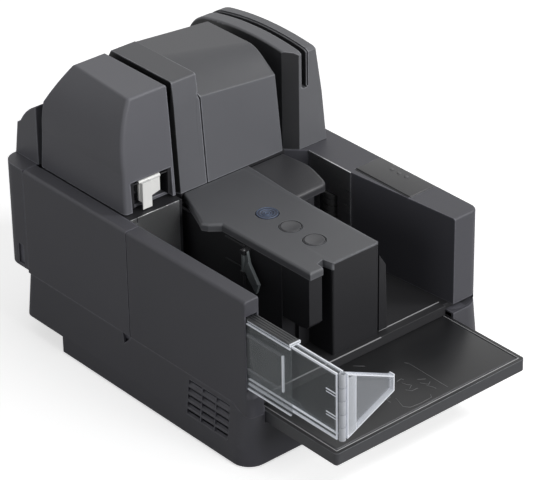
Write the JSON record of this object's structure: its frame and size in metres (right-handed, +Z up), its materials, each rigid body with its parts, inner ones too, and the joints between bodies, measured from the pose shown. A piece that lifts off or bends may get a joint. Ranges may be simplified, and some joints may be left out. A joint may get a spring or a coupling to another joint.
{
  "type": "desktop document scanner",
  "caption": "Desktop document scanner with side hopper, U-shaped paper path, swing-open exit and reader covers, tray and extending pocket.",
  "frame": {"origin": "on the table, under the middle of the whole machine's footprint with tray and pocket extension out", "axes": "+X to the right seen from the front, +Y to the back, +Z up"},
  "size_m": [0.2344, 0.3779, 0.2267],
  "materials": {
    "case_plastic": "fine grained",
    "cover_plastic": "fine grained",
    "dark_plastic": "smooth",
    "tray_plastic": "satin",
    "clear_plastic": "clear moulded plastic",
    "white_plastic": "satin",
    "key_plastic": "satin",
    "lit_key": "lit ring",
    "roller_rubber": "matte",
    "foot_rubber": "matte",
    "guide_metal": "brushed",
    "pin_metal": "ground",
    "screw_metal": "zinc plated",
    "sensor_black": "gloss",
    "board_green": "solder resist",
    "port_metal": "plated",
    "motor_metal": "satin"
  },
  "bodies": {
    "casing": {"lower_case": "case_plastic", "rubber_feet": "foot_rubber", "main_deck": "dark_plastic", "case_screws": "screw_metal", "pocket_wall": "case_plastic", "side_case": "case_plastic", "rear_case": "case_plastic", "wing_case": "case_plastic", "wing_lid_pin": "pin_metal", "exit_core": "dark_plastic", "pocket_guide_plate": "guide_metal", "hinge_pins": "pin_metal", "centre_cover": "cover_plastic", "transport_core": "dark_plastic", "rear_guide": "dark_plastic", "rear_cover": "cover_plastic", "feeder_housing": "dark_plastic", "feeder_panel": "cover_plastic", "key_board": "board_green", "flap_pin": "pin_metal", "guide_block": "cover_plastic", "hopper_guide_plate": "guide_metal", "drive_belt": "roller_rubber", "motor": "motor_metal", "magnetic_head": "sensor_black", "image_sensors": "sensor_black", "control_board": "board_green", "dc_inlet": "port_metal", "usb_socket": "port_metal"},
    "exit_door": {"exit_cover": "cover_plastic", "imprint_carriage": "dark_plastic", "ink_cartridge": "sensor_black"},
    "lever": {"imprint_lever": "white_plastic"},
    "tower": {"reader_tower": "cover_plastic", "reader_head": "sensor_black"},
    "lid": {"wing_lid": "cover_plastic"},
    "start_key": {"start_button": "lit_key"},
    "mode_key": {"mode_button": "key_plastic"},
    "stop_key": {"stop_button": "key_plastic"},
    "pusher_arm": {"pusher": "dark_plastic"},
    "flap": {"pocket_flap": "dark_plastic"},
    "tray": {"hopper_tray": "tray_plastic"},
    "rail": {"extension_rail": "clear_plastic"},
    "plate": {"extension_plate": "clear_plastic", "fin_pin": "pin_metal"},
    "fin": {"stop_fin": "clear_plastic"},
    "left_roller": {"left_drive_tyres": "roller_rubber", "left_drive_shaft": "pin_metal", "left_pulley": "white_plastic"},
    "right_roller": {"right_drive_tyres": "roller_rubber", "right_drive_shaft": "pin_metal", "right_pulley": "white_plastic"},
    "exit_pinch": {"exit_pinch_tyres": "roller_rubber", "exit_pinch_shaft": "pin_metal"},
    "entry_pinch": {"entry_pinch_tyres": "roller_rubber", "entry_pinch_shaft": "pin_metal"},
    "rotor": {"motor_shaft": "pin_metal", "motor_pulley": "white_plastic"},
    "feed_roller": {"feed_tyre": "roller_rubber", "feed_shaft": "pin_metal"}
  },
  "joints": [
    {"name": "exit_door_swing", "type": "hinge", "parent": "casing", "child": "exit_door", "pos_m": [-0.094, 0.1505, 0.16], "axis": [0, 0, -1], "range_deg": [0, 60]},
    {"name": "imprint_lever_turn", "type": "hinge", "parent": "exit_door", "child": "lever", "pos_m": [-0.075, 0.058, 0.1596], "axis": [-1, 0, 0], "range_deg": [0, 25]},
    {"name": "tower_swing", "type": "hinge", "parent": "casing", "child": "tower", "pos_m": [0.072, 0.177, 0.15], "axis": [0, 0, 1], "range_deg": [0, 60]},
    {"name": "wing_lid_swing", "type": "hinge", "parent": "casing", "child": "lid", "pos_m": [0.112, -0.018, 0.1096], "axis": [0, 1, 0], "range_deg": [0, 95]},
    {"name": "pusher_slide", "type": "slide", "parent": "casing", "child": "pusher_arm", "axis": [1, 0, 0], "range_m": [0, 0.048]},
    {"name": "pocket_flap_swing", "type": "hinge", "parent": "casing", "child": "flap", "pos_m": [-0.0516, -0.0205, 0.115], "axis": [0, 0, -1], "range_deg": [0, 45], "stiffness_Nm_per_rad": 0.002},
    {"name": "tray_slide", "type": "slide", "parent": "casing", "child": "tray", "axis": [0, 1, 0], "range_m": [0, 0.074]},
    {"name": "rail_slide", "type": "slide", "parent": "casing", "child": "rail", "axis": [0, 1, 0], "range_m": [0, 0.045]},
    {"name": "plate_slide", "type": "slide", "parent": "rail", "child": "plate", "axis": [0, 1, 0], "range_m": [0, 0.044]},
    {"name": "fin_fold", "type": "hinge", "parent": "plate", "child": "fin", "pos_m": [-0.1071, -0.1867, 0.095], "axis": [0, 0, -1], "range_deg": [0, 90]},
    {"name": "motor_turn", "type": "hinge", "parent": "casing", "child": "rotor", "pos_m": [0.0064, 0.133, 0.04], "axis": [0, 0, 1], "continuous": true},
    {"name": "left_roller_turn", "type": "hinge", "parent": "casing", "child": "left_roller", "pos_m": [-0.0408, 0.1, 0.09], "axis": [0, 0, 1], "continuous": true},
    {"name": "right_roller_turn", "type": "hinge", "parent": "casing", "child": "right_roller", "pos_m": [0.0531, 0.1, 0.09], "axis": [0, 0, 1], "continuous": true},
    {"name": "exit_pinch_turn", "type": "hinge", "parent": "casing", "child": "exit_pinch", "pos_m": [-0.0571, 0.1, 0.09], "axis": [0, 0, 1], "continuous": true},
    {"name": "entry_pinch_turn", "type": "hinge", "parent": "casing", "child": "entry_pinch", "pos_m": [0.0694, 0.1, 0.09], "axis": [0, 0, 1], "continuous": true},
    {"name": "feed_roller_turn", "type": "hinge", "parent": "casing", "child": "feed_roller", "pos_m": [0.0878, 0.035, 0.09], "axis": [0, 0, 1], "continuous": true},
    {"name": "start_button_press", "type": "slide", "parent": "casing", "child": "start_key", "axis": [0, 0, -1], "range_m": [0, 0.001], "stiffness_N_per_m": 600, "springref_m": -0.0006},
    {"name": "mode_button_press", "type": "slide", "parent": "casing", "child": "mode_key", "axis": [0, 0, -1], "range_m": [0, 0.001], "stiffness_N_per_m": 600, "springref_m": -0.0006},
    {"name": "stop_button_press", "type": "slide", "parent": "casing", "child": "stop_key", "axis": [0, 0, -1], "range_m": [0, 0.001], "stiffness_N_per_m": 600, "springref_m": -0.0006}
  ],
  "couplings": [
    {"joint": "left_roller_turn", "follows": "motor_turn", "ratio": 1},
    {"joint": "right_roller_turn", "follows": "motor_turn", "ratio": 1},
    {"joint": "exit_pinch_turn", "follows": "motor_turn", "ratio": -1.2857},
    {"joint": "entry_pinch_turn", "follows": "motor_turn", "ratio": -1.2857}
  ]
}
